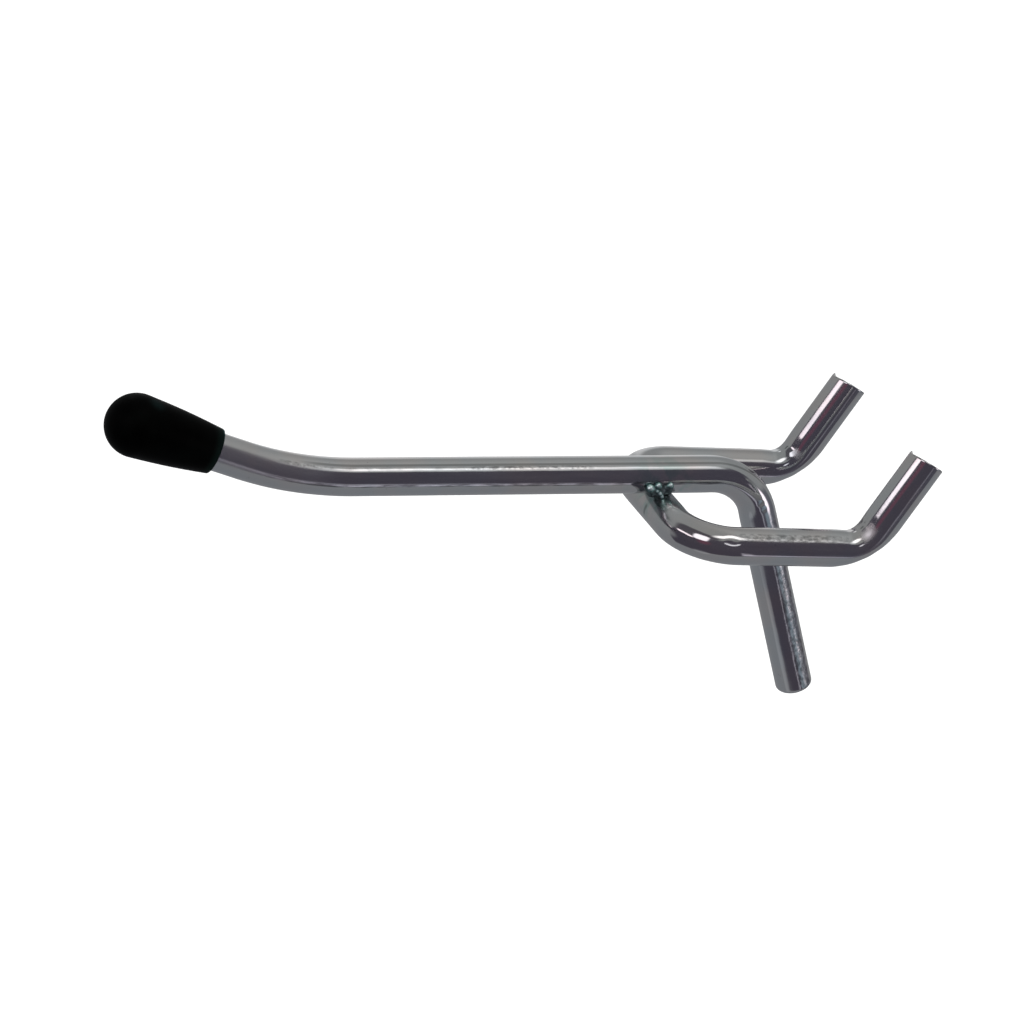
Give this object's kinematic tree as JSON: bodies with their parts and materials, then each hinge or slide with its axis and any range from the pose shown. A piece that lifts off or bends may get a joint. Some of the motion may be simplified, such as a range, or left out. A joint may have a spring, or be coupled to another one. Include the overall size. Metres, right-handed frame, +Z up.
{
  "type": "double hook",
  "caption": "Display hook for a perforated board: a round-wire arm with a capped, upturned tip and a rear leg, welded on a U-shaped wire with upturned prongs.",
  "frame": {"origin": "midway between the corners of the prongs, where the wire turns up behind the board", "axes": "+X to the rear through the board, square to the pair of prongs, with the arm lying along X and its tip towards -X; +Y to the left seen from the tip; +Z up"},
  "size_m": [0.1112, 0.03, 0.0442],
  "materials": {
    "plated_wire": "bright plated drawn wire",
    "weld_metal": "plated weld lumps, uneven",
    "cap_vinyl": "smooth black soft vinyl"
  },
  "bodies": {
    "root": {"hook_arm": "plated_wire", "prong_wire": "plated_wire", "weld_right": "weld_metal", "weld_left": "weld_metal", "tip_cap": "cap_vinyl"}
  },
  "joints": []
}
